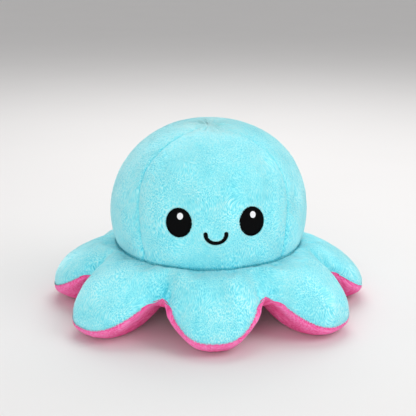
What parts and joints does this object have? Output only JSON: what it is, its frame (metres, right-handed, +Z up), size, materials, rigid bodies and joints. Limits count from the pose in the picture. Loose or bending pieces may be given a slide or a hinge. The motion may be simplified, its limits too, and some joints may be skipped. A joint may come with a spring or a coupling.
{
  "type": "plush octopus",
  "caption": "Stuffed toy octopus: a round four-gore head over an open hollow, on a scalloped skirt of stuffed arms, with a stitched smiling face.",
  "frame": {"origin": "on the surface the toy stands on, under the middle of the head", "axes": "+Z up, the face looks along -Y, +X towards the viewer's right"},
  "size_m": [0.4034, 0.394, 0.2328],
  "materials": {
    "aqua_plush": "short soft pile, matt with a pale sheen at the edges",
    "pink_plush": "short soft pile, matt",
    "filling": "loose white polyester fibre",
    "black_thread": "dense satin stitch, slight sheen",
    "white_thread": "dense satin stitch, slight sheen"
  },
  "bodies": {
    "octopus_body": {"head_gore_front": "aqua_plush", "head_gore_right": "aqua_plush", "head_gore_back": "aqua_plush", "head_gore_left": "aqua_plush", "lining_gore_front": "pink_plush", "lining_gore_right": "pink_plush", "lining_gore_back": "pink_plush", "lining_gore_left": "pink_plush", "head_stuffing": "filling", "eye_left": "black_thread", "glint_left": "white_thread", "eye_right": "black_thread", "glint_right": "white_thread", "mouth": "black_thread", "skirt_top": "aqua_plush", "skirt_underside": "pink_plush", "skirt_stuffing": "filling"},
    "arm_front": {"arm_front_top": "aqua_plush", "arm_front_underside": "pink_plush", "arm_front_stuffing": "filling"},
    "arm_front_right": {"arm_front_right_top": "aqua_plush", "arm_front_right_underside": "pink_plush", "arm_front_right_stuffing": "filling"},
    "arm_right": {"arm_right_top": "aqua_plush", "arm_right_underside": "pink_plush", "arm_right_stuffing": "filling"},
    "arm_back_right": {"arm_back_right_top": "aqua_plush", "arm_back_right_underside": "pink_plush", "arm_back_right_stuffing": "filling"},
    "arm_back": {"arm_back_top": "aqua_plush", "arm_back_underside": "pink_plush", "arm_back_stuffing": "filling"},
    "arm_back_left": {"arm_back_left_top": "aqua_plush", "arm_back_left_underside": "pink_plush", "arm_back_left_stuffing": "filling"},
    "arm_left": {"arm_left_top": "aqua_plush", "arm_left_underside": "pink_plush", "arm_left_stuffing": "filling"},
    "arm_front_left": {"arm_front_left_top": "aqua_plush", "arm_front_left_underside": "pink_plush", "arm_front_left_stuffing": "filling"}
  },
  "joints": [
    {"name": "arm_front_lift", "type": "hinge", "parent": "octopus_body", "child": "arm_front", "pos_m": [0, -0.151, 0.0775], "axis": [-1, 0, 0], "range_deg": [0, 60], "stiffness_Nm_per_rad": 0.03, "springref_deg": -28.65},
    {"name": "arm_front_right_lift", "type": "hinge", "parent": "octopus_body", "child": "arm_front_right", "pos_m": [0.10677, -0.10677, 0.0775], "axis": [-0.7071, -0.7071, 0], "range_deg": [0, 60], "stiffness_Nm_per_rad": 0.03, "springref_deg": -28.65},
    {"name": "arm_right_lift", "type": "hinge", "parent": "octopus_body", "child": "arm_right", "pos_m": [0.151, 0, 0.0775], "axis": [0, -1, 0], "range_deg": [0, 60], "stiffness_Nm_per_rad": 0.03, "springref_deg": -28.65},
    {"name": "arm_back_right_lift", "type": "hinge", "parent": "octopus_body", "child": "arm_back_right", "pos_m": [0.10677, 0.10677, 0.0775], "axis": [0.7071, -0.7071, 0], "range_deg": [0, 60], "stiffness_Nm_per_rad": 0.03, "springref_deg": -28.65},
    {"name": "arm_back_lift", "type": "hinge", "parent": "octopus_body", "child": "arm_back", "pos_m": [0, 0.151, 0.0775], "axis": [1, 0, 0], "range_deg": [0, 60], "stiffness_Nm_per_rad": 0.03, "springref_deg": -28.65},
    {"name": "arm_back_left_lift", "type": "hinge", "parent": "octopus_body", "child": "arm_back_left", "pos_m": [-0.10677, 0.10677, 0.0775], "axis": [0.7071, 0.7071, 0], "range_deg": [0, 60], "stiffness_Nm_per_rad": 0.03, "springref_deg": -28.65},
    {"name": "arm_left_lift", "type": "hinge", "parent": "octopus_body", "child": "arm_left", "pos_m": [-0.151, 0, 0.0775], "axis": [0, 1, 0], "range_deg": [0, 60], "stiffness_Nm_per_rad": 0.03, "springref_deg": -28.65},
    {"name": "arm_front_left_lift", "type": "hinge", "parent": "octopus_body", "child": "arm_front_left", "pos_m": [-0.10677, -0.10677, 0.0775], "axis": [-0.7071, 0.7071, 0], "range_deg": [0, 60], "stiffness_Nm_per_rad": 0.03, "springref_deg": -28.65}
  ]
}
